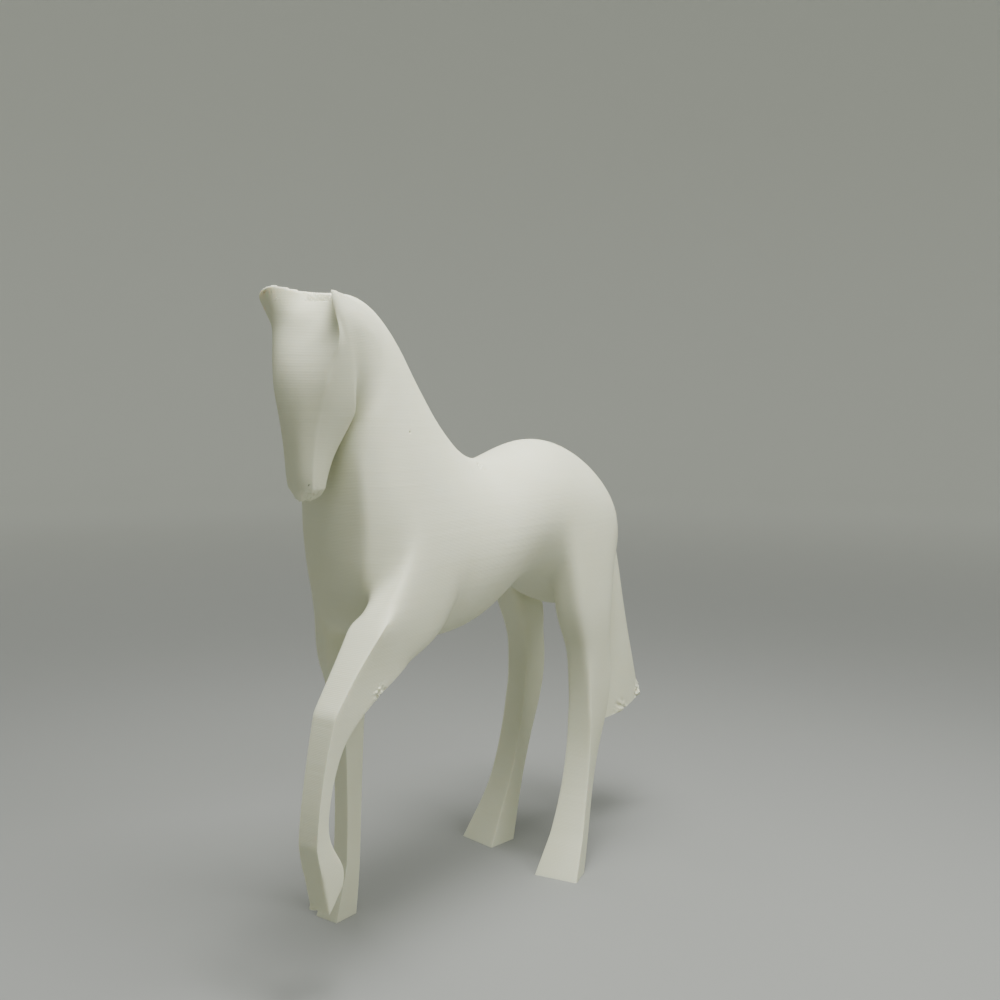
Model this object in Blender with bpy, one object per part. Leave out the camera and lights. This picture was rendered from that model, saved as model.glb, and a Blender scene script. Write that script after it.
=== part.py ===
# Walking horse, a small one-piece figurine printed in plastic, standing on three hooves.
# The horse faces -Y, its left side is +X, and +Z is up. The origin is under the middle of its outline box.
# The form is a closed cage of rings of points, rounded by subdivision and cut flat under the hooves.

import math

import bmesh
import bpy
from mathutils import Matrix, Vector

# Driving dimensions
STATUE_HEIGHT = 0.0932         # from the soles to the tip of the higher ear, in metres
SHARE = STATUE_HEIGHT / 93.2   # the proportions below are written for a height of 93.2

SUBDIVISION_LEVELS = 2
KEPT_FACES = 0.45              # share of the rounded cage's triangles that is kept
SHARP_ANGLE = math.radians(35)
ON_GROUND = 1e-6               # points this near to the ground are laid on it
SOLE_DEPTH = 0.6               # how far the cage of a standing hoof runs on below the ground, where it is cut

HEAD_TURN = math.radians(12)   # the head looks a little to its left
HEAD_ROLL = math.radians(5)    # and its right ear is the higher one
HEAD_PIVOT = Vector((0, -21, 84))

# Creases of the cage's edges
SHARP = 1.0
CRISP = 0.62
SOFT = 0.38
LIP_CREASE = 0.5

# Each half of a ring has these places, as angles down from the upper midline. Points are numbered from the
# upper midline (0) down the left side to the lower midline (7), and up the right side.
RING_ANGLES = (0, 16, 36, 62, 90, 118, 148, 180)
LOWER_MIDLINE = 7
RING_POINTS = 14
SECTION_POINTS = 8             # points of a section of a leg or of the tail
BROW_POINT, EDGE_POINT, UPPER_POINT, SIDE_POINT, FLANK_POINT, KEEL_POINT = 1, 2, 3, 4, 5, 6

# Body and neck, from rump to throat: top (y, z), bottom (y, z), half width, fullness of the upper and of the
# lower half (small is boxy, large is pointed), and how far down the widest place lies.
TRUNK = {
    "rump": ((37.2, 62.2), (35.4, 48.0), 7.8, 0.8, 0.7, 0.50),
    "buttock": ((32.2, 67.9), (31.0, 43.0), 10.1, 0.95, 0.65, 0.50),
    "croup": ((25.6, 71.3), (24.5, 41.8), 10.8, 1.05, 0.7, 0.50),
    "hip": ((18.6, 72.4), (17.5, 48.4), 10.4, 1.05, 1.0, 0.50),
    "loin": ((11.5, 70.3), (10.5, 49.2), 9.8, 1.0, 1.0, 0.52),
    "back": ((5.2, 69.0), (3.0, 43.8), 10.0, 1.0, 0.95, 0.50),
    "withers": ((0.4, 70.4), (-5.0, 42.0), 10.0, 1.4, 0.75, 0.52),
    "girth": ((-3.2, 73.4), (-11.4, 42.4), 9.9, 1.6, 0.7, 0.56),
    "brisket": ((-5.9, 76.6), (-18.6, 43.6), 9.8, 1.7, 0.65, 0.60),
    "chest": ((-8.1, 79.6), (-24.0, 47.0), 9.7, 1.7, 0.62, 0.60),
    "breast": ((-10.3, 82.6), (-26.2, 56.0), 8.8, 1.7, 0.5, 0.64),
    "collar": ((-12.6, 86.0), (-26.6, 64.5), 7.6, 1.6, 0.36, 0.64),
    "neck": ((-15.4, 89.0), (-26.6, 71.5), 6.9, 1.5, 0.38, 0.62),
    "crest": ((-19.0, 91.6), (-26.0, 73.6), 6.4, 1.1, 0.5, 0.60),
    "poll": ((-24.4, 93.1), (-26.0, 75.0), 6.5, 0.7, 0.6, 0.52),
}

# Head, from the ears down to the lips, in the same terms: its top is the face and its bottom the jaw.
# The last value is how far the middle of the face stands out before its edges.
HEAD = {
    "ears": ((-30.8, 92.2), (-26.1, 75.6), 5.5, 0.25, 0.8, 0.45, 0),
    "forelock": ((-31.4, 89.9), (-26.1, 75.7), 5.6, 0.2, 0.8, 0.45, 0),
    "brow": ((-32.4, 87.2), (-25.4, 75.8), 5.8, 0.10, 0.5, 0.52, 0.3),
    "eyes": ((-34.6, 82.2), (-25.5, 75.2), 5.2, 0.14, 0.45, 0.52, 0.6),
    "cheek": ((-34.5, 77.0), (-25.8, 74.0), 4.2, 0.50, 0.4, 0.56, 0.5),
    "nose": ((-33.6, 72.0), (-27.2, 71.2), 2.9, 0.34, 0.45, 0.55, 0.4),
    "nostrils": ((-32.9, 68.0), (-28.1, 68.0), 2.5, 0.25, 0.5, 0.50, 0.4),
    "lips": ((-32.4, 66.6), (-28.2, 66.6), 2.3, 0.22, 0.5, 0.50, 0.4),
}

RUMP_BULGE = (1.6, 2.2, 2.6, 2.8, 2.4, 1.2)   # how far the rump stands out behind its last ring
LIP_BULGE = 2.4
BROW_SHARE = 0.75              # how much of the face's bulge its brow points take

# The ears' and the brow's own points. Those of the inner side are mirrored. The outer side of the left ear
# runs back into the neck, and that of the right ear stands out.
POLL_EDGE = Vector((2.6, -31.4, 92.2))
EAR_TIP = Vector((4.7, -34.9, 93.0))
EAR_HOLLOW = Vector((2.3, -31.2, 89.7))
EAR_RIM = Vector((5.0, -33.9, 90.0))
BROW_HOLLOW = Vector((2.8, -32.2, 87.2))
EAR_ROOT = Vector((5.9, -33.0, 87.2))
LEFT_EAR_SIDE = Vector((6.0, -32.4, 90.6))
LEFT_EAR_FLANK = Vector((6.1, -31.8, 87.4))
RIGHT_EAR_SIDE = Vector((-7.9, -33.9, 91.7))
RIGHT_EAR_FLANK = Vector((-6.2, -33.0, 89.4))

# The lower chest runs forward into the raised foreleg, and on the right down into the standing one.
CHEST_LEFT_KEEL = Vector((5.7, -26.2, 52.4))
CHEST_RIGHT_KEEL = Vector((-5.6, -23.4, 46.0))
CHEST_RIGHT_FLANK = Vector((-9.4, -21.8, 52.4))

# Legs, from top to sole: middle of the section (x, y, z), half width, half depth, the section's pitch about X
# and its turn about Z in degrees, the width of its rear as a share of its front, the crease of its two front
# edges down to the next section, and the crease across its front.
RAISED_FORELEG = (
    ((7.3, -18.9, 47.2), 3.2, 8.2, -19, 8, 0.85, CRISP, 0),
    ((7.9, -24.9, 44.4), 2.6, 5.5, -25, 8, 0.9, CRISP, 0),
    ((8.3, -29.4, 41.2), 2.2, 3.5, -27, 4, 0.9, CRISP, 0),
    ((8.5, -33.7, 37.3), 2.1, 2.1, -25, 0, 0.9, CRISP, CRISP),
    ((8.5, -35.8, 33.0), 1.8, 1.2, -4, 0, 0.9, CRISP, 0),
    ((8.5, -37.5, 26.0), 1.75, 0.9, -4, 0, 0.9, CRISP, 0),
    ((8.5, -37.7, 21.6), 1.75, 1.1, 4, 0, 0.9, CRISP, CRISP),
    ((8.5, -35.9, 18.0), 1.9, 2.2, 6, 0, 0.9, CRISP, 0),
    ((8.5, -35.5, 13.9), 1.8, 2.1, 50, 0, 0.9, 0, 0),
)

STANDING_FORELEG = (
    ((7.1, -16.4, 41.6), 2.8, 4.8, 0, 12, 0.9, 0, 0),
    ((7.9, -15.3, 37.0), 1.9, 3.2, 0, 8, 0.9, SOFT, 0),
    ((8.3, -14.8, 32.0), 1.55, 2.3, 0, 0, 0.9, CRISP, 0),
    ((8.3, -14.7, 27.0), 1.45, 1.9, 0, 0, 0.9, CRISP, 0),
    ((8.3, -14.8, 17.0), 1.35, 1.5, 0, 0, 0.9, CRISP, 0),
    ((8.3, -15.3, 8.5), 1.5, 1.5, 0, 0, 0.9, CRISP, CRISP),
    ((8.9, -15.8, 4.0), 1.8, 1.9, 0, 0, 0.9, CRISP, 0),
    ((9.7, -16.4, -SOLE_DEPTH), 2.3, 2.3, 0, 0, 0.9, 0, 0),
)

LEFT_HIND_LEG = (
    ((7.9, 24.2, 42.6), 3.5, 5.6, -10, 0, 0.9, 0, 0),
    ((8.2, 26.0, 36.4), 2.5, 3.7, -2, 0, 0.9, SOFT, 0),
    ((8.2, 26.3, 27.0), 2.3, 3.3, 0, 0, 0.8, CRISP, 0),
    ((8.2, 24.7, 20.0), 2.3, 2.1, 6, 4, 0.65, CRISP, 0),
    ((8.2, 22.8, 12.0), 2.5, 2.1, 4, 8, 0.6, CRISP, 0),
    ((8.4, 20.7, 6.5), 3.0, 2.4, 8, 10, 0.7, CRISP, CRISP),
    ((8.5, 17.3, -SOLE_DEPTH), 3.9, 2.5, 0, 10, 0.8, 0, 0),
)

RIGHT_HIND_LEG = (
    ((8.6, 28.6, 43.0), 3.3, 5.0, -8, 0, 0.9, 0, 0),
    ((9.1, 31.5, 36.4), 2.4, 2.9, -2, 0, 0.9, SOFT, 0),
    ((9.2, 31.6, 27.0), 2.2, 2.8, 0, 6, 0.8, CRISP, 0),
    ((9.3, 29.1, 19.0), 2.3, 2.0, 6, 8, 0.7, CRISP, 0),
    ((9.6, 26.7, 11.0), 2.5, 1.9, 4, 10, 0.7, CRISP, 0),
    ((10.2, 25.2, 6.5), 2.9, 2.5, 8, 10, 0.75, CRISP, CRISP),
    ((11.2, 22.8, -SOLE_DEPTH), 4.0, 3.0, 0, 10, 0.85, 0, 0),
)

# Tail, from the dock to its slanted lower end: middle (x, y, z), half width, half depth and pitch.
TAIL = (
    ((0, 39.6, 56.0), 3.0, 3.6, 45),
    ((0, 42.0, 50.0), 3.0, 3.4, 25),
    ((0, 43.6, 42.5), 3.0, 3.6, 14),
    ((0, 45.4, 34.0), 3.0, 4.6, 10),
    ((0, 46.6, 27.0), 3.1, 6.0, 12),
    ((0, 47.0, 21.6), 3.2, 7.4, 15),
)


def ring_points(top, bottom, half_width, upper, lower, widest):
    """The points of a ring between its top and its bottom, both on the midline."""
    top_point = Vector((0, top[0], top[1]))
    bottom_point = Vector((0, bottom[0], bottom[1]))
    left = []
    for degrees in RING_ANGLES:
        angle = math.radians(degrees)
        height = math.cos(angle)
        if height > 0:
            level = widest * (1 - height)
            fullness = upper
        else:
            level = widest - (1 - widest) * height
            fullness = lower
        point = top_point.lerp(bottom_point, level)
        point.x = half_width * max(math.sin(angle), 0) ** fullness
        left.append(point)
    left[LOWER_MIDLINE].x = 0
    left[BROW_POINT].x = left[EDGE_POINT].x / 2
    right = [Vector((-point.x, point.y, point.z)) for point in left[LOWER_MIDLINE - 1:0:-1]]
    return left + right


def section_points(middle, half_width, half_depth, pitch, turn, rear_share, side):
    """Eight points of a leg's section, from the outer rear corner along the outside to the front."""
    corners = ((1, 1), (1, 0), (1, -1), (0, -1), (-1, -1), (-1, 0), (-1, 1), (0, 1))
    tilt = Matrix.Rotation(math.radians(turn), 3, "Z") @ Matrix.Rotation(math.radians(pitch), 3, "X")
    points = []
    for across, along in corners:
        width = half_width * (1 + (rear_share - 1) * (along + 1) / 2)
        point = Vector(middle) + tilt @ Vector((across * width, along * half_depth, 0))
        point.x *= side
        points.append(point)
    return points


def tail_points(middle, half_width, half_depth, pitch):
    """Eight points of the tail's section, from its outer edge down the left side."""
    tilt = Matrix.Rotation(math.radians(pitch), 3, "X")
    points = []
    for index in range(SECTION_POINTS):
        angle = 2 * math.pi * index / SECTION_POINTS
        flat = Vector((half_width * math.sin(angle), half_depth * math.cos(angle), 0))
        points.append(Vector(middle) + tilt @ flat)
    return points


def add_ring(cage, points):
    return [cage.verts.new(point) for point in points]


def bridge(cage, first, second, skipped=()):
    """Faces between two rings of as many points; the faces in skipped are left open for a limb."""
    count = len(first)
    for index in range(count):
        if index in skipped:
            continue
        after = (index + 1) % count
        cage.faces.new((first[index], first[after], second[after], second[index]))


def mirrored(index):
    """The number of the point on the other side of the ring."""
    return (RING_POINTS - index) % RING_POINTS


def close_end(cage, ring, inner):
    """Closes a ring over a column of inner points, one for each pair of its side points."""
    column = [cage.verts.new(point) for point in inner]
    last = LOWER_MIDLINE - 1
    cage.faces.new((ring[0], ring[1], column[0], ring[mirrored(1)]))
    cage.faces.new((ring[LOWER_MIDLINE], ring[mirrored(last)], column[-1], ring[last]))
    for index in range(1, last):
        left = (ring[index], ring[index + 1], column[index], column[index - 1])
        right = (column[index - 1], column[index], ring[mirrored(index + 1)], ring[mirrored(index)])
        cage.faces.new(left)
        cage.faces.new(right)
    return column


def close_limb(cage, ring):
    """Closes an eight-point ring over one middle point."""
    middle = sum((vert.co for vert in ring), Vector()) / len(ring)
    centre = cage.verts.new(middle)
    for index in range(0, SECTION_POINTS, 2):
        cage.faces.new((ring[index - 1], ring[index], ring[index + 1], centre))


def set_crease(cage, layer, first, second, amount):
    edge = cage.edges.get((first, second))
    edge[layer] = max(edge[layer], amount)


def crease_along(cage, layer, rings, names, index, amount):
    """Creases the lines through one point of each named ring, on both sides."""
    for name, after in zip(names, names[1:]):
        set_crease(cage, layer, rings[name][index], rings[after][index], amount)
        set_crease(cage, layer, rings[name][mirrored(index)], rings[after][mirrored(index)], amount)


def build_trunk(cage):
    """Body, neck and head as one run of rings; returns the rings by name."""
    rings = {}
    for name, shape in TRUNK.items():
        rings[name] = add_ring(cage, ring_points(*shape))
    for name, shape in HEAD.items():
        *outline, bulge = shape
        ring = add_ring(cage, ring_points(*outline))
        ring[0].co.y -= bulge
        for index in (BROW_POINT, mirrored(BROW_POINT)):
            ring[index].co.y -= bulge * BROW_SHARE
        rings[name] = ring
    inner_points = (("ears", BROW_POINT, POLL_EDGE), ("ears", EDGE_POINT, EAR_TIP),
                    ("forelock", BROW_POINT, EAR_HOLLOW), ("forelock", EDGE_POINT, EAR_RIM),
                    ("brow", BROW_POINT, BROW_HOLLOW), ("brow", EDGE_POINT, EAR_ROOT))
    for name, index, point in inner_points:
        rings[name][index].co = point
        rings[name][mirrored(index)].co = Vector((-point.x, point.y, point.z))
    rings["ears"][UPPER_POINT].co = LEFT_EAR_SIDE
    rings["forelock"][UPPER_POINT].co = LEFT_EAR_FLANK
    rings["ears"][mirrored(UPPER_POINT)].co = RIGHT_EAR_SIDE
    rings["forelock"][mirrored(UPPER_POINT)].co = RIGHT_EAR_FLANK
    chest = rings["chest"]
    chest[KEEL_POINT].co = CHEST_LEFT_KEEL
    chest[mirrored(KEEL_POINT)].co = CHEST_RIGHT_KEEL
    chest[mirrored(FLANK_POINT)].co = CHEST_RIGHT_FLANK
    return rings


def turn_head(rings):
    """Turns the head to its left, with the poll and the throat following in part."""
    shares = {"crest": 0.25, "poll": 0.7}
    for name in HEAD:
        shares[name] = 1.0
    for name, share in shares.items():
        turn = Matrix.Rotation(HEAD_TURN * share, 3, "Z") @ Matrix.Rotation(HEAD_ROLL * share, 3, "Y")
        for vert in rings[name]:
            vert.co = HEAD_PIVOT + turn @ (vert.co - HEAD_PIVOT)


def leg_root(rings, names, side):
    """The eight points around the open patch of the trunk that a leg grows from."""
    rear, middle, front = (rings[name] for name in names)
    outer, between, inner = SIDE_POINT, FLANK_POINT, KEEL_POINT
    if side < 0:
        outer, between, inner = mirrored(outer), mirrored(between), mirrored(inner)
    return [rear[outer], middle[outer], front[outer], front[between],
            front[inner], middle[inner], rear[inner], rear[between]]


def build_leg(cage, layer, root, sections, side):
    """A four-sided leg from its root on the trunk down to the sole."""
    previous = root
    rings = []
    ridges = []
    for section in sections:
        *shape, ridge, fold = section
        ring = add_ring(cage, section_points(*shape, side))
        if side > 0:
            bridge(cage, previous, ring)
        else:
            bridge(cage, ring, previous)
        for index in (2, 3):
            set_crease(cage, layer, ring[index], ring[index + 1], fold)
        rings.append(ring)
        ridges.append(ridge)
        previous = ring
    close_limb(cage, previous)
    for ridge, upper, lower in zip(ridges, rings, rings[1:]):
        for index in (2, 4):
            set_crease(cage, layer, upper[index], lower[index], ridge)
    for upper, lower in zip(rings[1:], rings[2:]):
        for index in (0, 6):
            set_crease(cage, layer, upper[index], lower[index], CRISP)
    for index in range(SECTION_POINTS):
        set_crease(cage, layer, previous[index], previous[(index + 1) % SECTION_POINTS], SHARP)


def build_tail(cage, layer, root):
    previous = root
    for shape in TAIL:
        ring = add_ring(cage, tail_points(*shape))
        bridge(cage, previous, ring)
        previous = ring
    close_limb(cage, previous)
    for index in range(SECTION_POINTS):
        set_crease(cage, layer, previous[index], previous[(index + 1) % SECTION_POINTS], SHARP)


def build_cage():
    cage = bmesh.new()
    layer = cage.edges.layers.float.new("crease_edge")
    rings = build_trunk(cage)
    names = list(rings)
    fore = ("girth", "brisket", "chest")
    hind = ("buttock", "croup", "hip")
    left_open = {SIDE_POINT, FLANK_POINT}
    leg_faces = left_open | {mirrored(index + 1) for index in left_open}
    open_faces = {name: leg_faces for name in fore[:2] + hind[:2]}
    for name, after in zip(names, names[1:]):
        bridge(cage, rings[name], rings[after], open_faces.get(name, ()))
    turn_head(rings)

    rump = rings["rump"]
    rump_column = [vert.co.copy() for vert in rump[1:LOWER_MIDLINE]]
    for point, bulge in zip(rump_column, RUMP_BULGE):
        point.x = 0
        point.y += bulge
    column = close_end(cage, rump, rump_column)
    lips = rings["lips"]
    lip_column = [vert.co.copy() for vert in lips[1:LOWER_MIDLINE]]
    for index, point in enumerate(lip_column, 1):
        opposite = lips[mirrored(index)].co
        lip_column[index - 1] = (point + opposite) / 2 - Vector((0, 0, LIP_BULGE))
    close_end(cage, lips, lip_column)

    for face in list(column[1].link_faces):
        cage.faces.remove(face)
    cage.verts.remove(column[1])
    dock = [column[0], rump[1], rump[2], rump[3], column[2],
            rump[mirrored(3)], rump[mirrored(2)], rump[mirrored(1)]]
    build_tail(cage, layer, dock)

    build_leg(cage, layer, leg_root(rings, fore, 1), RAISED_FORELEG, 1)
    build_leg(cage, layer, leg_root(rings, fore, -1), STANDING_FORELEG, -1)
    build_leg(cage, layer, leg_root(rings, hind, 1), LEFT_HIND_LEG, 1)
    build_leg(cage, layer, leg_root(rings, hind, -1), RIGHT_HIND_LEG, -1)

    face_edge = ["poll"] + list(HEAD)
    chest_edge = ["chest", "breast", "collar", "neck"]
    crease_along(cage, layer, rings, face_edge, EDGE_POINT, CRISP)
    crease_along(cage, layer, rings, chest_edge, KEEL_POINT, SOFT)
    ears = rings["ears"]
    for index in (0, BROW_POINT):
        set_crease(cage, layer, ears[index], ears[index + 1], CRISP)
        set_crease(cage, layer, ears[mirrored(index)], ears[mirrored(index + 1)], CRISP)
    set_crease(cage, layer, ears[mirrored(EDGE_POINT)], ears[mirrored(UPPER_POINT)], CRISP)
    right_side = mirrored(UPPER_POINT)
    set_crease(cage, layer, ears[right_side], rings["forelock"][right_side], CRISP)
    for index in range(RING_POINTS):
        set_crease(cage, layer, lips[index], lips[(index + 1) % RING_POINTS], LIP_CREASE)
    bmesh.ops.recalc_face_normals(cage, faces=cage.faces[:])
    bmesh.ops.scale(cage, vec=(SHARE, SHARE, SHARE), verts=cage.verts[:])
    return cage


def printed_plastic():
    material = bpy.data.materials.new("white_pla")
    material.use_nodes = True
    shader = material.node_tree.nodes["Principled BSDF"]
    shader.inputs["Base Color"].default_value = (0.70, 0.68, 0.60, 1.0)
    shader.inputs["Roughness"].default_value = 0.55
    shader.inputs["Metallic"].default_value = 0.0
    return material


def rounded_mesh(cage):
    """The cage's subdivided form, thinned to fewer triangles."""
    mesh = bpy.data.meshes.new("cage")
    cage.to_mesh(mesh)
    holder = bpy.data.objects.new("cage", mesh)
    bpy.context.scene.collection.objects.link(holder)
    rounding = holder.modifiers.new("rounding", "SUBSURF")
    rounding.levels = SUBDIVISION_LEVELS
    rounding.render_levels = SUBDIVISION_LEVELS
    thinning = holder.modifiers.new("thinning", "DECIMATE")
    thinning.ratio = KEPT_FACES
    bpy.context.view_layer.update()
    depsgraph = bpy.context.evaluated_depsgraph_get()
    rounded = bpy.data.meshes.new_from_object(holder.evaluated_get(depsgraph))
    bpy.data.objects.remove(holder)
    return rounded


def cut_soles(mesh):
    """Cuts the standing hooves flat at the ground and closes the cuts."""
    work = bmesh.new()
    work.from_mesh(mesh)
    everything = work.verts[:] + work.edges[:] + work.faces[:]
    cut = bmesh.ops.bisect_plane(work, geom=everything, dist=1e-7, plane_co=(0, 0, 0),
                                 plane_no=(0, 0, -1), clear_outer=True)
    rim = [item for item in cut["geom_cut"] if isinstance(item, bmesh.types.BMEdge)]
    bmesh.ops.holes_fill(work, edges=rim, sides=0)
    bmesh.ops.triangulate(work, faces=work.faces[:])
    bmesh.ops.recalc_face_normals(work, faces=work.faces[:])
    for vert in work.verts:
        if abs(vert.co.z) < ON_GROUND:
            vert.co.z = 0
    work.to_mesh(mesh)
    work.free()


def centre_on_ground(mesh):
    """Moves the middle of the outline box over the origin."""
    middle = []
    for axis in (0, 1):
        values = [vert.co[axis] for vert in mesh.vertices]
        shift = (min(values) + max(values)) / 2
        for vert in mesh.vertices:
            vert.co[axis] -= shift
        middle.append(shift)
    print("middle of the outline box, mm", [round(value * 1000, 3) for value in middle])


def main():
    for item in list(bpy.data.objects):
        bpy.data.objects.remove(item, do_unlink=True)
    cage = build_cage()
    mesh = rounded_mesh(cage)
    cage.free()
    cut_soles(mesh)
    centre_on_ground(mesh)
    mesh.name = "horse"
    mesh.materials.clear()
    mesh.materials.append(printed_plastic())
    mesh.shade_smooth()
    mesh.set_sharp_from_angle(angle=SHARP_ANGLE)
    horse = bpy.data.objects.new("horse", mesh)
    bpy.context.scene.collection.objects.link(horse)
    print("triangles", len(mesh.polygons))


main()
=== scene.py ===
# Dresses the walking horse figurine: one white PLA print, 93 mm tall.
# The horse faces -Y and its left side is +X. Its form is written in millimetres, on its own midline.
import math
import bmesh
import bpy
from mathutils import Matrix, Vector, noise


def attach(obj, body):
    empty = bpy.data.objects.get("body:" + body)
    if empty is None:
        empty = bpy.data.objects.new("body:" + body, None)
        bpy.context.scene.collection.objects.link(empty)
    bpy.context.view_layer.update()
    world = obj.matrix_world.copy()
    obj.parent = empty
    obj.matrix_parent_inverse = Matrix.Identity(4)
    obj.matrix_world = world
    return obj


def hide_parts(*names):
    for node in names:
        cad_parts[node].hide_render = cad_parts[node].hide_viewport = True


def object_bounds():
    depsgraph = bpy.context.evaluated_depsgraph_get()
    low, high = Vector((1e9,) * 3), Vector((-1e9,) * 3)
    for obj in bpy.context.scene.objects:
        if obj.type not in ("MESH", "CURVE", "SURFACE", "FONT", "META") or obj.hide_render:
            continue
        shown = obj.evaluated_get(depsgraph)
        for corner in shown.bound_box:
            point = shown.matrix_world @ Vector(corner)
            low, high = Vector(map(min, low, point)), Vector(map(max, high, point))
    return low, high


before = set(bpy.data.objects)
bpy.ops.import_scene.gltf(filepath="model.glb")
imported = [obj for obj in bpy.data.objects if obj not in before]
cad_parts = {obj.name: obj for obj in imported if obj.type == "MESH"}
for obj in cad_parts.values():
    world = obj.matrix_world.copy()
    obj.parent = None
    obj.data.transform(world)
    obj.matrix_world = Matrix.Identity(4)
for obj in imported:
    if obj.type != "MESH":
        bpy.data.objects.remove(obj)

cadLow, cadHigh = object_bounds()
millimetre = 0.001

# How sharp the rounded cage's edges stay, from 0, round, to 1, a hard edge
sharp, crisp, soft, faint = 1.0, 0.62, 0.38, 0.2
lipCrease, toeCrease = 0.5, 0.8

# Each half of a ring has these places, as angles down from the upper midline. The points are numbered
# from the upper midline down the left side to the lower midline, and up the right side.
ringAngles = (0, 16, 36, 62, 90, 118, 148, 180)
lowerMidline = 7
ringPoints = 14
sectionPoints = 8           # of a leg or the tail; the corners of a leg's section are even
frontCorners, rearCorners = (2, 4), (0, 6)
browPoint, edgePoint, upperPoint = 1, 2, 3
sidePoint, flankPoint, keelPoint = 4, 5, 6

# Body and neck: top (y, z), bottom (y, z), half width, upper and lower fullness (0 is square,
# 1 round, 2 hollow), level of the widest place
trunk = {
    "rump": ((37.2, 62.2), (35.4, 48.0), 7.8, 0.8, 0.7, 0.50),
    "buttock": ((32.2, 67.9), (31.0, 43.0), 10.1, 0.95, 0.65, 0.50),
    "croup": ((25.6, 71.3), (24.5, 41.8), 10.8, 1.05, 0.7, 0.50),
    "hip": ((18.6, 72.4), (17.5, 48.4), 10.4, 1.05, 1.0, 0.50),
    "loin": ((11.5, 70.3), (10.5, 49.2), 9.8, 1.0, 1.0, 0.52),
    "back": ((5.2, 68.65), (3.0, 43.8), 10.0, 1.0, 0.95, 0.50),
    "withers": ((0.4, 70.15), (-5.0, 42.0), 10.0, 1.4, 0.75, 0.52),
    "girth": ((-3.2, 73.4), (-11.4, 42.4), 9.9, 1.6, 0.7, 0.56),
    "brisket": ((-5.9, 76.6), (-18.6, 43.6), 9.8, 1.7, 0.65, 0.60),
    "chest": ((-8.1, 79.6), (-24.0, 47.0), 9.7, 1.7, 0.62, 0.60),
    "breast": ((-10.3, 82.6), (-26.2, 56.0), 8.8, 1.7, 0.5, 0.64),
    "collar": ((-12.6, 86.0), (-26.6, 64.5), 7.6, 1.6, 0.36, 0.64),
    "neck": ((-15.4, 89.0), (-26.6, 71.5), 6.9, 1.5, 0.38, 0.62),
    "crest": ((-19.0, 91.6), (-26.0, 73.6), 6.4, 1.1, 0.5, 0.60),
    "poll": ((-24.4, 93.1), (-26.0, 75.0), 6.5, 0.7, 0.6, 0.52),
}

# Head, in the same terms: its top is the face and its bottom the jaw. The last value is how far
# the middle of the face bulges.
head = {
    "ears": ((-29.3, 92.3), (-26.1, 75.6), 5.5, 0.25, 0.8, 0.45, 0),
    "forelock": ((-31.8, 89.6), (-26.1, 75.7), 5.6, 0.2, 0.8, 0.45, 0),
    "brow": ((-32.4, 87.2), (-25.4, 75.8), 5.8, 0.10, 0.5, 0.52, 0.3),
    "eyes": ((-34.6, 82.2), (-25.5, 75.2), 5.2, 0.14, 0.45, 0.52, 0.6),
    "cheek": ((-34.5, 77.0), (-25.8, 74.0), 4.2, 0.50, 0.4, 0.56, 0.7),
    "nose": ((-33.6, 72.0), (-27.2, 71.2), 2.9, 0.34, 0.45, 0.55, 0.6),
    "nostrils": ((-32.9, 68.0), (-28.1, 68.0), 2.5, 0.25, 0.5, 0.50, 0.5),
    "lips": ((-32.4, 66.6), (-28.2, 66.6), 2.3, 0.22, 0.5, 0.50, 0.4),
}

# How far the head turns and rolls, in degrees, and how much of that each ring takes
headPose = {
    "turn": 12,
    "roll": 5,
    "pivot": (0, -21, 84),
    "shares": {"crest": 0.25, "poll": 0.7},     # the head's own rings take all of it
}
rumpBulge = (1.6, 2.2, 2.6, 2.8, 2.4, 1.2)      # of the closed rear end, from the dock down
lipBulge = 2.4
browShares = (1.0, 0.5)     # how much of the face's bulge its left and right brow points take

# Points of the ears and brow that stand off the rings, the same on both sides
earPoints = (
    ("ears", browPoint, (2.6, -30.1, 92.3)),            # edge of the strip between the ears
    ("ears", edgePoint, (4.7, -34.9, 93.0)),            # tip
    ("forelock", edgePoint, (5.0, -33.9, 90.0)),        # rim
    ("brow", edgePoint, (5.9, -33.0, 87.2)),            # root
)

# Points of one side only: the left ear runs back into the neck and the right one stands out.
# The chest runs into the raised foreleg on the left and down into the standing one on the right.
leftPoints = (
    ("forelock", browPoint, (2.5, -31.0, 89.8)),        # pocket of the ear
    ("brow", browPoint, (2.8, -33.1, 87.2)),
    ("ears", upperPoint, (6.0, -32.4, 90.6)),
    ("forelock", upperPoint, (6.1, -31.8, 87.4)),
    ("chest", keelPoint, (5.7, -26.2, 52.4)),
)
rightPoints = (
    ("ears", edgePoint, (4.7, -34.9, 93.35)),
    ("forelock", browPoint, (2.4, -32.2, 89.7)),
    ("brow", browPoint, (2.8, -32.9, 87.2)),
    ("ears", upperPoint, (7.9, -33.9, 91.7)),
    ("forelock", upperPoint, (6.2, -33.0, 89.4)),
    ("chest", keelPoint, (5.6, -23.4, 46.0)),
    ("chest", flankPoint, (9.4, -21.8, 52.4)),
)

soleDepth = 0.6     # how far a standing hoof runs on below the ground, before it is cut flat there

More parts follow.
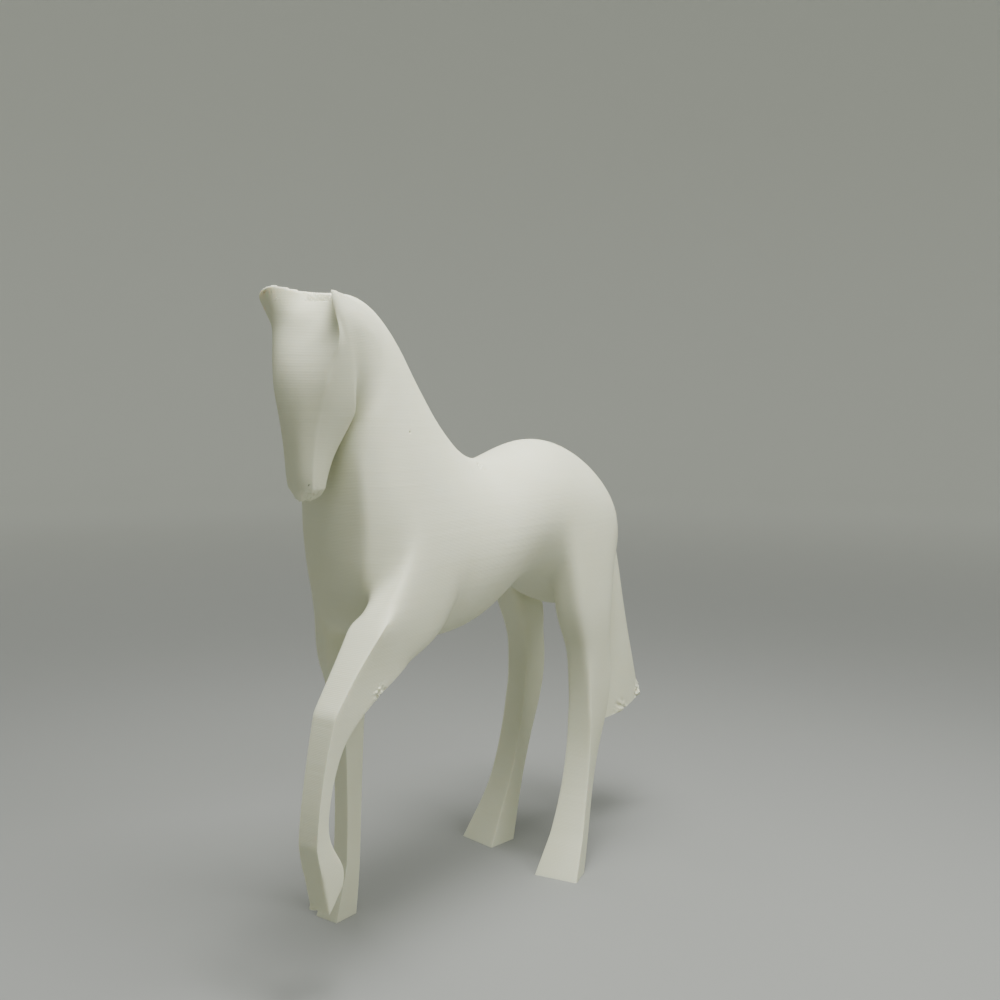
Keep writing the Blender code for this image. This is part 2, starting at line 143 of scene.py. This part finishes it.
# Legs: middle of each section, half width, half depth, pitch, turn, rear width as a share of the
# front one, crease of the two front edges down to the next section, crease across the front
legs = {
    "raisedForeleg": (
        ((7.3, -18.9, 47.2), 3.2, 8.2, -19, 8, 0.85, crisp, 0),
        ((7.9, -24.5, 44.6), 2.6, 5.1, -25, 8, 0.9, crisp, 0),
        ((8.3, -29.2, 41.3), 2.2, 3.4, -27, 4, 0.9, crisp, 0),
        ((8.5, -33.7, 37.3), 2.1, 2.1, -25, 0, 0.9, crisp, crisp),
        ((8.5, -35.8, 33.0), 1.8, 1.2, -4, 0, 0.9, crisp, 0),
        ((8.5, -37.5, 26.0), 1.75, 0.9, -4, 0, 0.9, crisp, 0),
        ((8.5, -37.7, 21.6), 1.75, 1.1, 4, 0, 0.9, crisp, crisp),
        ((8.5, -35.9, 18.0), 1.9, 2.2, 6, 0, 0.9, soft, 0),
        ((8.5, -35.5, 13.9), 1.8, 2.1, 50, 0, 0.9, 0, 0),
    ),
    "standingForeleg": (
        ((7.1, -16.4, 41.6), 2.8, 4.8, 0, 12, 0.9, 0, 0),
        ((7.9, -15.3, 37.0), 1.9, 3.2, 0, 8, 0.9, soft, 0),
        ((8.3, -14.8, 32.0), 1.55, 2.3, 0, 0, 0.9, crisp, 0),
        ((8.3, -14.7, 27.0), 1.45, 1.9, 0, 0, 0.9, crisp, 0),
        ((8.3, -14.8, 17.0), 1.35, 1.5, 0, 0, 0.9, crisp, 0),
        ((8.3, -15.3, 8.5), 1.5, 1.5, 0, 0, 0.9, crisp, crisp),
        ((8.9, -15.8, 4.0), 1.8, 1.9, 0, 0, 0.9, crisp, 0),
        ((9.7, -16.4, -soleDepth), 2.3, 2.3, 0, 0, 0.9, 0, 0),
    ),
    "leftHindLeg": (
        ((7.9, 24.2, 42.6), 3.5, 5.6, -10, 0, 0.9, 0, 0),
        ((8.2, 26.0, 36.4), 2.5, 3.7, -2, 0, 0.9, soft, 0),
        ((8.2, 26.3, 27.0), 2.3, 3.3, 0, 0, 0.8, crisp, 0),
        ((8.2, 24.7, 20.0), 2.3, 2.1, 6, 4, 0.65, crisp, 0),
        ((8.2, 22.8, 12.0), 2.5, 2.1, 4, 8, 0.6, crisp, 0),
        ((8.4, 20.7, 6.5), 3.0, 2.4, 8, 10, 0.7, crisp, crisp),
        ((8.5, 17.3, -soleDepth), 3.9, 2.5, 0, 10, 0.8, 0, 0),
    ),
    "rightHindLeg": (
        ((8.6, 28.6, 43.0), 3.3, 5.0, -8, 0, 0.9, 0, 0),
        ((9.1, 31.5, 36.4), 2.4, 2.9, -2, 0, 0.9, soft, 0),
        ((9.2, 31.6, 27.0), 2.2, 2.8, 0, 6, 0.8, crisp, 0),
        ((9.3, 29.1, 19.0), 2.3, 2.0, 6, 8, 0.7, crisp, 0),
        ((9.6, 26.7, 11.0), 2.5, 1.9, 4, 10, 0.7, crisp, 0),
        ((10.2, 25.2, 6.5), 2.9, 2.5, 8, 10, 0.75, crisp, crisp),
        ((11.2, 22.8, -soleDepth), 4.0, 3.0, 0, 10, 0.85, 0, 0),
    ),
}

# Where each leg starts: the rings that it opens, rear to front, its side (left is 1), and the crease
# around its end
foreRings = ("girth", "brisket", "chest")
hindRings = ("buttock", "croup", "hip")
legStarts = {
    "raisedForeleg": (foreRings, 1, toeCrease),
    "standingForeleg": (foreRings, -1, sharp),
    "leftHindLeg": (hindRings, 1, sharp),
    "rightHindLeg": (hindRings, -1, sharp),
}

# Tail: middle of each section, half width, half depth, pitch
tail = (
    ((0, 39.6, 56.0), 3.0, 3.6, 45),
    ((0, 42.0, 50.0), 3.0, 3.4, 25),
    ((0, 43.6, 42.5), 3.0, 3.6, 14),
    ((0, 45.4, 34.0), 3.0, 4.6, 10),
    ((0, 46.6, 27.0), 3.1, 6.0, 12),
    ((0, 47.0, 21.6), 3.2, 7.4, 15),
)


def ringOutline(top, bottom, halfWidth, upper, lower, widest):
    topPoint = Vector((0, top[0], top[1]))
    bottomPoint = Vector((0, bottom[0], bottom[1]))
    left = []
    for degrees in ringAngles:
        angle = math.radians(degrees)
        height = math.cos(angle)
        level = widest * (1 - height) if height > 0 else widest - (1 - widest) * height
        fullness = upper if height > 0 else lower
        point = topPoint.lerp(bottomPoint, level)
        point.x = halfWidth * max(math.sin(angle), 0) ** fullness
        left.append(point)
    left[lowerMidline].x = 0
    left[browPoint].x = left[edgePoint].x / 2
    right = [Vector((-point.x, point.y, point.z)) for point in left[lowerMidline - 1:0:-1]]
    return left + right


def legOutline(middle, halfWidth, halfDepth, pitch, turn, rearShare, side):
    corners = ((1, 1), (1, 0), (1, -1), (0, -1), (-1, -1), (-1, 0), (-1, 1), (0, 1))
    tilt = (Matrix.Rotation(math.radians(turn), 3, "Z")
            @ Matrix.Rotation(math.radians(pitch), 3, "X"))
    points = []
    for across, along in corners:
        width = halfWidth * (1 + (rearShare - 1) * (along + 1) / 2)
        point = Vector(middle) + tilt @ Vector((across * width, along * halfDepth, 0))
        point.x *= side
        points.append(point)
    return points


def tailOutline(middle, halfWidth, halfDepth, pitch):
    tilt = Matrix.Rotation(math.radians(pitch), 3, "X")
    points = []
    for index in range(sectionPoints):
        angle = math.tau * index / sectionPoints
        flat = Vector((halfWidth * math.sin(angle), halfDepth * math.cos(angle), 0))
        points.append(Vector(middle) + tilt @ flat)
    return points


def addRing(cage, points):
    return [cage.verts.new(point) for point in points]


def bridge(cage, first, second, skipped=()):
    count = len(first)
    for index in range(count):
        if index not in skipped:
            after = (index + 1) % count
            cage.faces.new((first[index], first[after], second[after], second[index]))


def mirrored(index):
    return (ringPoints - index) % ringPoints


def closeEnd(cage, ring, inner):
    column = [cage.verts.new(point) for point in inner]
    last = lowerMidline - 1
    cage.faces.new((ring[0], ring[1], column[0], ring[mirrored(1)]))
    cage.faces.new((ring[lowerMidline], ring[mirrored(last)], column[-1], ring[last]))
    for index in range(1, last):
        upper, lower = column[index - 1], column[index]
        cage.faces.new((ring[index], ring[index + 1], lower, upper))
        cage.faces.new((upper, lower, ring[mirrored(index + 1)], ring[mirrored(index)]))
    return column


def closeLimb(cage, ring):
    centre = cage.verts.new(sum((vert.co for vert in ring), Vector()) / len(ring))
    for index in range(0, sectionPoints, 2):
        cage.faces.new((ring[index - 1], ring[index], ring[index + 1], centre))


def setCrease(cage, layer, first, second, amount):
    edge = cage.edges.get((first, second))
    edge[layer] = max(edge[layer], amount)


def creaseAlong(cage, layer, rings, names, places, amount):
    for name, after in zip(names, names[1:]):
        for place in places:
            setCrease(cage, layer, rings[name][place], rings[after][place], amount)


def creaseAround(cage, layer, ring, amount):
    for index, vert in enumerate(ring):
        setCrease(cage, layer, vert, ring[(index + 1) % len(ring)], amount)


def buildTrunk(cage):
    rings = {name: addRing(cage, ringOutline(*shape)) for name, shape in trunk.items()}
    for name, (*shape, bulge) in head.items():
        ring = addRing(cage, ringOutline(*shape))
        ring[0].co.y -= bulge
        for index, share in zip((browPoint, mirrored(browPoint)), browShares):
            ring[index].co.y -= bulge * share
        rings[name] = ring
    for name, index, (x, y, z) in earPoints + leftPoints:
        rings[name][index].co = (x, y, z)
    for name, index, (x, y, z) in earPoints + rightPoints:
        rings[name][mirrored(index)].co = (-x, y, z)
    return rings


def turnHead(rings):
    shares = {**headPose["shares"], **{name: 1.0 for name in head}}
    pivot = Vector(headPose["pivot"])
    for name, share in shares.items():
        turn = Matrix.Rotation(math.radians(headPose["turn"]) * share, 3, "Z")
        roll = Matrix.Rotation(math.radians(headPose["roll"]) * share, 3, "Y")
        for vert in rings[name]:
            vert.co = pivot + turn @ roll @ (vert.co - pivot)


def legRoot(rings, names, side):
    rear, middle, front = (rings[name] for name in names)
    outer, between, inner = sidePoint, flankPoint, keelPoint
    if side < 0:
        outer, between, inner = mirrored(outer), mirrored(between), mirrored(inner)
    return [rear[outer], middle[outer], front[outer], front[between],
            front[inner], middle[inner], rear[inner], rear[between]]


def buildLeg(cage, layer, root, sections, side, endCrease):
    previous = root
    rings = []
    ridges = []
    for *shape, ridge, fold in sections:
        ring = addRing(cage, legOutline(*shape, side))
        if side > 0:
            bridge(cage, previous, ring)
        else:
            bridge(cage, ring, previous)
        for index in range(*frontCorners):
            setCrease(cage, layer, ring[index], ring[index + 1], fold)
        rings.append(ring)
        ridges.append(ridge)
        previous = ring
    closeLimb(cage, previous)
    for ridge, upper, lower in zip(ridges, rings, rings[1:]):
        for index in frontCorners:
            setCrease(cage, layer, upper[index], lower[index], ridge)
    for upper, lower in zip(rings[1:], rings[2:]):
        for index in rearCorners:
            setCrease(cage, layer, upper[index], lower[index], crisp)
    creaseAround(cage, layer, previous, endCrease)


def buildTail(cage, layer, root):
    previous = root
    for shape in tail:
        ring = addRing(cage, tailOutline(*shape))
        bridge(cage, previous, ring)
        previous = ring
    closeLimb(cage, previous)
    creaseAround(cage, layer, previous, sharp)


def bridgeTrunk(cage, rings):
    leftOpen = {sidePoint, flankPoint}
    legFaces = leftOpen | {mirrored(index + 1) for index in leftOpen}
    openFaces = {name: legFaces for name in foreRings[:2] + hindRings[:2]}
    names = list(rings)
    for name, after in zip(names, names[1:]):
        bridge(cage, rings[name], rings[after], openFaces.get(name, ()))


def closeRump(cage, rump):
    inner = []
    for vert, bulge in zip(rump[1:lowerMidline], rumpBulge):
        inner.append(Vector((0, vert.co.y + bulge, vert.co.z)))
    return closeEnd(cage, rump, inner)


def closeLips(cage, lips):
    inner = []
    for index in range(1, lowerMidline):
        middle = (lips[index].co + lips[mirrored(index)].co) / 2
        inner.append(middle - Vector((0, 0, lipBulge)))
    closeEnd(cage, lips, inner)


def openDock(cage, rump, column):
    for face in list(column[1].link_faces):
        cage.faces.remove(face)
    cage.verts.remove(column[1])
    return [column[0], rump[1], rump[2], rump[3], column[2],
            rump[mirrored(3)], rump[mirrored(2)], rump[mirrored(1)]]


def creaseHeadAndChest(cage, layer, rings):
    leftEdge, rightEdge, rightSide = edgePoint, mirrored(edgePoint), mirrored(upperPoint)
    ear = ("poll", "ears", "forelock")
    face = ("eyes", "cheek", "nose", "nostrils", "lips")
    keel = ("chest", "breast", "collar", "neck")
    creaseAlong(cage, layer, rings, ear + ("brow",) + face, (leftEdge,), crisp)
    creaseAlong(cage, layer, rings, ear, (rightEdge,), faint)
    creaseAlong(cage, layer, rings, face, (rightEdge,), soft)
    creaseAlong(cage, layer, rings, keel, (keelPoint, mirrored(keelPoint)), soft)
    ears = rings["ears"]
    for index in (0, browPoint):
        setCrease(cage, layer, ears[index], ears[index + 1], crisp)
        setCrease(cage, layer, ears[mirrored(index)], ears[mirrored(index + 1)], crisp)
    setCrease(cage, layer, ears[rightEdge], ears[rightSide], crisp)
    setCrease(cage, layer, ears[rightSide], rings["forelock"][rightSide], crisp)
    creaseAround(cage, layer, rings["lips"], lipCrease)


def buildCage():
    cage = bmesh.new()
    layer = cage.edges.layers.float.new("crease_edge")      # Blender's own name for it
    rings = buildTrunk(cage)
    bridgeTrunk(cage, rings)
    turnHead(rings)
    column = closeRump(cage, rings["rump"])
    closeLips(cage, rings["lips"])
    buildTail(cage, layer, openDock(cage, rings["rump"], column))
    for name, (rootRings, side, endCrease) in legStarts.items():
        root = legRoot(rings, rootRings, side)
        buildLeg(cage, layer, root, legs[name], side, endCrease)
    creaseHeadAndChest(cage, layer, rings)
    bmesh.ops.recalc_face_normals(cage, faces=cage.faces[:])
    return cage


def roundedMesh(cage, levels):
    mesh = bpy.data.meshes.new("cage")
    cage.to_mesh(mesh)
    holder = bpy.data.objects.new("cage", mesh)
    bpy.context.scene.collection.objects.link(holder)
    rounding = holder.modifiers.new("rounding", "SUBSURF")
    rounding.levels = levels
    rounding.render_levels = levels
    bpy.context.view_layer.update()
    depsgraph = bpy.context.evaluated_depsgraph_get()
    rounded = bpy.data.meshes.new_from_object(holder.evaluated_get(depsgraph))
    bpy.data.objects.remove(holder)
    return rounded


# How the mesh is finished, in millimetres
meshFinish = {
    "roundings": 3,             # each one makes four faces of one
    "cutTolerance": 0.0001,     # at the flat cut of the soles
    "onGround": 0.001,          # points this near to the ground are set on it
    "sliver": 0.01,             # edges and triangles thinner than this are joined up
    "sharpAngle": 40,           # degrees, from which an edge is shaded as an edge
}


def cutSoles(work):
    everything = work.verts[:] + work.edges[:] + work.faces[:]
    cut = bmesh.ops.bisect_plane(work, geom=everything, dist=meshFinish["cutTolerance"],
                                 plane_co=(0, 0, 0), plane_no=(0, 0, -1), clear_outer=True)
    rim = [item for item in cut["geom_cut"] if isinstance(item, bmesh.types.BMEdge)]
    bmesh.ops.holes_fill(work, edges=rim, sides=0)
    for vert in work.verts:
        if abs(vert.co.z) < meshFinish["onGround"]:
            vert.co.z = 0


def centreOnGround(work):
    for axis in (0, 1):
        values = [vert.co[axis] for vert in work.verts]
        shift = (min(values) + max(values)) / 2
        for vert in work.verts:
            vert.co[axis] -= shift
    share = 1.0         # the rounded form may be a hair larger than the solid's box
    for axis in range(3):
        reach = max(vert.co[axis] for vert in work.verts)
        share = min(share, cadHigh[axis] / millimetre / reach)
    for vert in work.verts:
        vert.co *= share


# Marks that the printer left, in millimetres from under the middle of the horse: middle, radius,
# size of the lumps, depth, and the way they grow (None is straight out of the surface)
roughSpots = {
    "support scars under the muzzle": ((2.8, -38.4, 65.6), 2.7, 0.55, 0.36, (0, 0, -1)),
    "burr behind the raised knee": ((11.2, -34.3, 39.4), 1.6, 0.45, 0.3, None),
    "torn toe of the raised hoof": ((9.7, -44.0, 12.8), 1.7, 0.5, 0.35, (0, 0, -1)),
    "ragged end of the tail, front": ((2.6, 37.6, 21.3), 2.6, 0.8, 0.6, None),
    "ragged end of the tail, rear": ((2.0, 43.8, 22.8), 3.0, 0.8, 1.1, None),
    "blobs on the withers": ((5.0, -4.8, 68.4), 1.2, 0.35, 0.34, None),
}

# Small dots: middle, radius, depth (below zero: a bead that stands out)
dots = {
    "pit in the neck": ((8.3, -24.5, 73.9), 0.17, 0.5),
    "bead on the torn toe": ((8.8, -44.5, 12.9), 0.5, -0.8),
    "bead behind the raised knee": ((11.6, -34.6, 40.2), 0.2, -0.3),
}

# How every rough spot and every dot is made, as shares of its lump size and its radius
lumps = {"reach": 1.1, "spacing": 0.45, "fineSize": 0.4, "fineShare": 0.5, "wrap": 0.4}
dotForm = {"reach": 4, "spacing": 0.35, "edge": 2.5, "steepness": 2}
refineRounds = 4

# Places where the folds melt into the surface: middle, radius, rounds
meltedFolds = {
    "cheek into the neck": ((8.2, -34.0, 81.8), 6.0, 60),
    "neck into the back": ((2.0, -5.0, 69.6), 6.5, 40),
}
meltStep = 0.5          # how far a point goes towards the mean of its neighbours in a round

# The upper edge of the ears shows the printer's layers as small steps
earSteps = {
    "lowest": 91.2,     # above this and in front of the next the steps show
    "rear": -36.5,
    "layer": 0.2,
    "spacing": 0.2,     # of the mesh there
    "flatness": 0.5,    # only where the surface looks up at least this much
}


def near(vert, middle, radius):
    return (vert.co - middle).length < radius


def splitLargeFaces(work):
    largeFaces = [face for face in work.faces if len(face.verts) > 3]
    bmesh.ops.triangulate(work, faces=largeFaces)


def refine(work, middle, radius, length):
    for attempt in range(refineRounds):
        longEdges = [edge for edge in work.edges if edge.calc_length() > length
                     and all(near(vert, middle, radius) for vert in edge.verts)]
        if not longEdges:
            break
        bmesh.ops.subdivide_edges(work, edges=longEdges, cuts=1)
        splitLargeFaces(work)
    work.normal_update()


def roughen(work, middle, radius, grain, depth, push):
    centre = Vector(middle)
    refine(work, centre, radius * lumps["reach"], grain * lumps["spacing"])
    moves = {}
    for vert in work.verts:
        distance = (vert.co - centre).length
        if distance < radius:
            fine = noise.noise(vert.co / (grain * lumps["fineSize"]))
            lump = noise.noise(vert.co / grain) + lumps["fineShare"] * fine
            fade = 1 - (distance / radius) ** 2
            way = Vector(push) if push else vert.normal
            facing = min(max(vert.normal.dot(way) + lumps["wrap"], 0), 1)
            moves[vert] = way * lump * fade * facing * depth
    for vert, move in moves.items():
        vert.co += move


def pressDot(work, middle, radius, depth):
    centre = Vector(middle)
    refine(work, centre, radius * dotForm["reach"], radius * dotForm["spacing"])
    moves = {}
    for vert in work.verts:
        distance = (vert.co - centre).length / radius
        if distance < dotForm["edge"]:
            fade = math.exp(-dotForm["steepness"] * distance ** 2)
            moves[vert] = vert.normal * depth * fade
    for vert, move in moves.items():
        vert.co -= move


def meltFold(work, middle, radius, rounds):
    centre = Vector(middle)
    chosen = [vert for vert in work.verts if near(vert, centre, radius)]
    for attempt in range(rounds):
        moves = []
        for vert in chosen:
            neighbours = [edge.other_vert(vert).co for edge in vert.link_edges]
            mean = sum(neighbours, Vector()) / len(neighbours)
            fade = 1 - ((vert.co - centre).length / radius) ** 2
            moves.append((mean - vert.co) * meltStep * max(fade, 0))
        for vert, move in zip(chosen, moves):
            vert.co += move
    work.normal_update()


def stepEars(work):
    layer, lowest, rear = earSteps["layer"], earSteps["lowest"], earSteps["rear"]
    top = [vert for vert in work.verts if vert.co.z > lowest and vert.co.y < rear]
    middle = sum((vert.co for vert in top), Vector()) / len(top)
    radius = max((vert.co - middle).length for vert in top)
    refine(work, middle, radius, earSteps["spacing"])
    for vert in work.verts:
        onTop = vert.co.z > lowest and vert.co.y < rear
        if onTop and vert.normal.z > earSteps["flatness"]:
            vert.co.z = math.floor(vert.co.z / layer) * layer


def keepInBox(work):
    low = [value / millimetre for value in cadLow]
    high = [value / millimetre for value in cadHigh]
    for vert in work.verts:
        for axis in range(3):
            vert.co[axis] = min(max(vert.co[axis], low[axis]), high[axis])


def buildHorse():
    cage = buildCage()
    mesh = roundedMesh(cage, meshFinish["roundings"])
    cage.free()
    work = bmesh.new()
    work.from_mesh(mesh)
    cutSoles(work)
    bmesh.ops.triangulate(work, faces=work.faces[:])
    bmesh.ops.recalc_face_normals(work, faces=work.faces[:])
    print("horse: rounded to", len(work.faces), "triangles")
    centreOnGround(work)
    for spot in meltedFolds.values():
        meltFold(work, *spot)
    for spot in roughSpots.values():
        roughen(work, *spot)
    for spot in dots.values():
        pressDot(work, *spot)
    stepEars(work)
    keepInBox(work)
    bmesh.ops.dissolve_degenerate(work, dist=meshFinish["sliver"], edges=work.edges[:])
    splitLargeFaces(work)
    bmesh.ops.scale(work, vec=(millimetre,) * 3, verts=work.verts[:])
    work.to_mesh(mesh)
    work.free()
    mesh.name = "horse"
    mesh.materials.clear()
    mesh.shade_smooth()
    mesh.set_sharp_from_angle(angle=math.radians(meshFinish["sharpAngle"]))
    horse = bpy.data.objects.new("printedHorse", mesh)
    bpy.context.scene.collection.objects.link(horse)
    print("horse: print marks added,", len(mesh.polygons), "triangles")
    return horse


def linear(hexColour):
    channels = []
    for index in (1, 3, 5):
        value = int(hexColour[index:index + 2], 16) / 255
        channels.append(value / 12.92 if value <= 0.04045 else ((value + 0.055) / 1.055) ** 2.4)
    return tuple(channels) + (1,)


def addNode(tree, kind, settings=None, inputs=None):
    node = tree.nodes.new(kind)
    for name, value in (settings or {}).items():
        setattr(node, name, value)
    for name, value in (inputs or {}).items():
        if isinstance(value, bpy.types.NodeSocket):
            tree.links.new(value, node.inputs[name])
        else:
            node.inputs[name].default_value = value
    return node


# White PLA, printed in layers: a soft, slightly warm plastic with a low sheen. It lets a little
# light in, so its shaded folds look warm, and its layers draw faint level lines. Sizes are in mm.
pla = {
    "colour": "#E0E2CA",
    "shadeColour": "#D6D7BA",
    "mottleSize": 8.333,      # of the clouds between the two colours
    "ior": 1.46,
    "roughness": 0.6,
    "roughnessSpread": 0.06,
    "layerHeight": 0.2,
    "layerDepth": 0.008,      # how far a layer's rounded side stands out
    "bandHeight": 0.86,       # groups of layers, drawn this coarse so that they show from a step away
    "bandLength": 33.333,
    "bandDepth": 0.03,
    "subsurface": 0.22,
    "scatter": (1.3, 1.0, 0.7),       # how far red, green and blue light goes in
}


def plaMaterial():
    material = bpy.data.materials.new("layeredWhitePla")
    material.use_nodes = True
    tree = material.node_tree
    shader = tree.nodes["Principled BSDF"]
    place = addNode(tree, "ShaderNodeTexCoord")
    inMillimetres = addNode(tree, "ShaderNodeVectorMath", {"operation": "SCALE"},
                            {0: place.outputs["Object"], "Scale": 1 / millimetre})
    axes = addNode(tree, "ShaderNodeSeparateXYZ", inputs={0: inMillimetres.outputs[0]})

    # layers: a half-round profile that repeats with each layer
    phase = addNode(tree, "ShaderNodeMath", {"operation": "MULTIPLY"},
                    {0: axes.outputs["Z"], 1: math.pi / pla["layerHeight"]})
    wave = addNode(tree, "ShaderNodeMath", {"operation": "SINE"}, {0: phase.outputs[0]})
    layer = addNode(tree, "ShaderNodeMath", {"operation": "ABSOLUTE"}, {0: wave.outputs[0]})

    # bands: noise drawn out sideways, so that it follows the layers
    bandScale = (1 / pla["bandLength"], 1 / pla["bandLength"], 1 / pla["bandHeight"])
    stretched = addNode(tree, "ShaderNodeVectorMath", {"operation": "MULTIPLY"},
                        {0: inMillimetres.outputs[0], 1: bandScale})
    bands = addNode(tree, "ShaderNodeTexNoise", inputs={
        "Vector": stretched.outputs[0], "Scale": 1.0, "Detail": 3.0, "Roughness": 0.6})
    bandBump = addNode(tree, "ShaderNodeBump", inputs={
        "Height": bands.outputs["Fac"], "Strength": 1.0,
        "Distance": pla["bandDepth"] * millimetre})
    layerBump = addNode(tree, "ShaderNodeBump", inputs={
        "Height": layer.outputs[0], "Strength": 1.0,
        "Distance": pla["layerDepth"] * millimetre, "Normal": bandBump.outputs[0]})

    # colour in soft clouds, and a sheen that changes a little from band to band
    mottle = addNode(tree, "ShaderNodeTexNoise", inputs={
        "Vector": inMillimetres.outputs[0], "Scale": 1 / pla["mottleSize"], "Detail": 2.0})
    tint = addNode(tree, "ShaderNodeMix", {"data_type": "RGBA"}, {
        "Factor": mottle.outputs["Fac"],
        "A": linear(pla["colour"]), "B": linear(pla["shadeColour"])})
    gloss = addNode(tree, "ShaderNodeMapRange", inputs={
        "Value": bands.outputs["Fac"],
        "To Min": pla["roughness"] - pla["roughnessSpread"],
        "To Max": pla["roughness"] + pla["roughnessSpread"]})
    tree.links.new(tint.outputs["Result"], shader.inputs["Base Color"])
    tree.links.new(gloss.outputs[0], shader.inputs["Roughness"])
    tree.links.new(layerBump.outputs[0], shader.inputs["Normal"])
    shader.inputs["IOR"].default_value = pla["ior"]
    shader.inputs["Subsurface Weight"].default_value = pla["subsurface"]
    shader.inputs["Subsurface Radius"].default_value = pla["scatter"]
    shader.inputs["Subsurface Scale"].default_value = millimetre
    return material


# Plain studio: a pale round floor that curves up into a wall all round, a soft light close above
# the horse, a weak one from its left and a weaker one from behind its right. Sizes are in metres.
studio = {
    "floorColour": "#868884",
    "wallColour": "#F0F2EC",
    "roughness": 0.9,
    "paleFrom": 0.15,         # distance from the horse where the card starts to get paler,
    "paleTo": 0.75,           # and where it is palest
    "floorRadius": 0.75,
    "bend": 0.35,             # radius of the curve between floor and wall
    "bendSteps": 12,
    "wallHeight": 1.0,
    "spokes": 48,
    "ambientColour": "#D2D4CE",
    "ambient": 0.6,
    "lamps": {                # place, watts, width
        "overhead": ((0.055, -0.03, 0.27), 1.2, 0.13),
        "side": ((0.20, 0.0, 0.20), 0.22, 0.10),
        "far side": ((-0.24, 0.12, 0.30), 0.16, 0.15),
    },
    "aim": (0, 0, 0.05),
}


# Matt painted card: no gloss, and paler the farther it is from the horse
def cardMaterial():
    card = bpy.data.materials.new("mattPaintedCard")
    card.use_nodes = True
    tree = card.node_tree
    shader = tree.nodes["Principled BSDF"]
    place = addNode(tree, "ShaderNodeTexCoord")
    distance = addNode(tree, "ShaderNodeVectorMath", {"operation": "LENGTH"},
                       {0: place.outputs["Object"]})
    climb = addNode(tree, "ShaderNodeMapRange", {"interpolation_type": "SMOOTHSTEP"}, {
        "Value": distance.outputs["Value"],
        "From Min": studio["paleFrom"], "From Max": studio["paleTo"]})
    shade = addNode(tree, "ShaderNodeMix", {"data_type": "RGBA"}, {
        "Factor": climb.outputs[0],
        "A": linear(studio["floorColour"]), "B": linear(studio["wallColour"])})
    tree.links.new(shade.outputs["Result"], shader.inputs["Base Color"])
    shader.inputs["Roughness"].default_value = studio["roughness"]
    return card


def sweepProfile():
    profile = []
    for step in range(studio["bendSteps"] + 1):
        angle = math.pi / 2 * step / studio["bendSteps"]
        profile.append((studio["floorRadius"] + studio["bend"] * math.sin(angle),
                        studio["bend"] * (1 - math.cos(angle))))
    profile.append((studio["floorRadius"] + studio["bend"], studio["wallHeight"]))
    return profile


def buildSweep():
    profile = sweepProfile()
    spokes = studio["spokes"]
    points = [(0, 0, 0)]
    for radius, height in profile:
        for spoke in range(spokes):
            angle = math.tau * spoke / spokes
            points.append((radius * math.cos(angle), radius * math.sin(angle), height))
    faces = [(0, 1 + spoke, 1 + (spoke + 1) % spokes) for spoke in range(spokes)]
    for row in range(len(profile) - 1):
        inner = 1 + row * spokes
        outer = inner + spokes
        for spoke in range(spokes):
            after = (spoke + 1) % spokes
            faces.append((inner + spoke, outer + spoke, outer + after, inner + after))
    mesh = bpy.data.meshes.new("sweep")
    mesh.from_pydata(points, [], faces)
    mesh.shade_smooth()
    mesh.materials.append(cardMaterial())
    sweep = bpy.data.objects.new("sweep", mesh)
    bpy.context.scene.collection.objects.link(sweep)


def buildLights():
    world = bpy.data.worlds.new("studio")
    world.use_nodes = True
    background = world.node_tree.nodes["Background"]
    background.inputs["Color"].default_value = linear(studio["ambientColour"])
    background.inputs["Strength"].default_value = studio["ambient"]
    bpy.context.scene.world = world
    for name, (position, watts, width) in studio["lamps"].items():
        light = bpy.data.lights.new(name, "AREA")
        light.energy = watts
        light.size = width
        lamp = bpy.data.objects.new(name, light)
        lamp.location = position
        towards = Vector(studio["aim"]) - lamp.location
        lamp.rotation_euler = towards.to_track_quat("-Z", "Y").to_euler()
        bpy.context.scene.collection.objects.link(lamp)


# Lens, sensor and nearest distance shown in mm, place in metres, pitch and heading in degrees
view = {
    "lens": 43.2,
    "sensor": 36,
    "nearest": 10,
    "place": (0.1204, -0.1478, 0.0790),
    "pitch": 85,
    "heading": 38,
}


def buildCamera():
    camera = bpy.data.cameras.new("threeQuarterView")
    camera.lens = view["lens"]
    camera.sensor_width = view["sensor"]
    camera.clip_start = view["nearest"] * millimetre
    holder = bpy.data.objects.new("threeQuarterView", camera)
    holder.location = view["place"]
    holder.rotation_euler = (math.radians(view["pitch"]), 0, math.radians(view["heading"]))
    bpy.context.scene.collection.objects.link(holder)
    bpy.context.scene.camera = holder


horse = buildHorse()
horse.data.materials.append(plaMaterial())
print("horse: layered white PLA put on")
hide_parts("horse")
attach(horse, "root")
buildSweep()
buildLights()
buildCamera()
print("studio, lights and camera in place")
